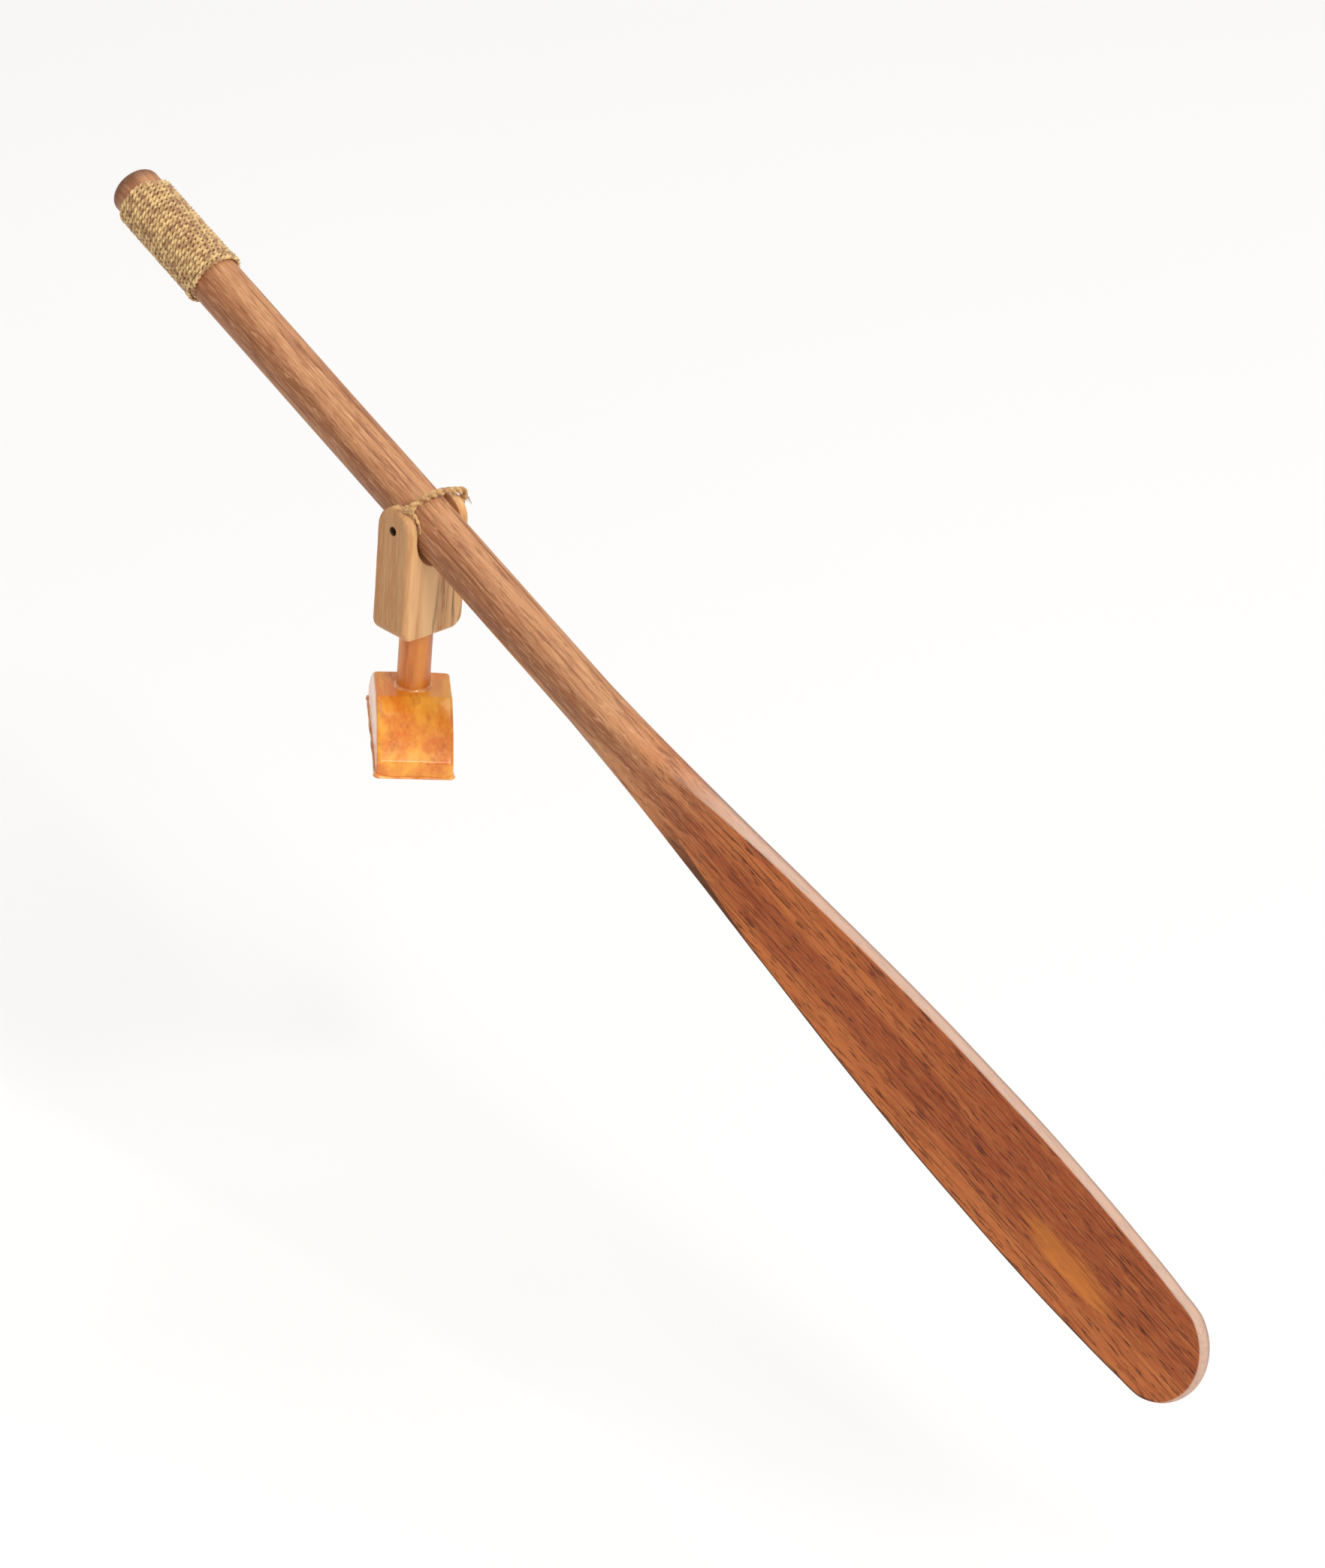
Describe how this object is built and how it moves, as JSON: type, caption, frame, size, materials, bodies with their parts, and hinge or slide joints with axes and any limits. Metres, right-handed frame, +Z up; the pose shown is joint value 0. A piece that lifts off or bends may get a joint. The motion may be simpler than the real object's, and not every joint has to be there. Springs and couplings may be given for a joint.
{
  "type": "model rowing oar in rowlock",
  "caption": "Miniature varnished wooden rowing oar with a flat rounded blade and a thread-wound grip, tied into a forked wooden rowlock that swivels on a pin in a glued base block.",
  "frame": {"origin": "middle of the base block's flat underside, on the pin's axis, where the block is glued to the boat's gunwale", "axes": "+Z up the pin, +Y along the gunwale and the block's long way, +X outboard; at rest the blade points outboard and towards -Y, 22.5 degrees below level"},
  "size_m": [0.18, 0.2199, 0.1257],
  "materials": {
    "oar_wood": "satin varnish",
    "whipping_thread": "waxed",
    "crutch_wood": "thin varnish",
    "lashing_thread": "waxed",
    "pin_wood": "gloss varnish",
    "block_wood": "gloss varnish"
  },
  "bodies": {
    "base": {"base_block": "block_wood", "pin": "pin_wood"},
    "crutch": {"crutch": "crutch_wood"},
    "lashing": {"lashing": "lashing_thread"},
    "oar": {"oar": "oar_wood", "grip_whipping": "whipping_thread"}
  },
  "joints": [
    {"name": "rowlock_swivel", "type": "hinge", "parent": "base", "child": "crutch", "pos_m": [0, 0, 0.0225], "axis": [0, 0, 1], "range_deg": [-38, 137]},
    {"name": "oar_dip", "type": "hinge", "parent": "crutch", "child": "lashing", "pos_m": [0, 0, 0.0434], "axis": [0.7771, 0.6293, 0], "range_deg": [-32.5, 7.5]},
    {"name": "oar_feather", "type": "hinge", "parent": "lashing", "child": "oar", "pos_m": [0.00029, -0.00036, 0.04451], "axis": [0.5814, -0.718, -0.3827], "continuous": true}
  ]
}
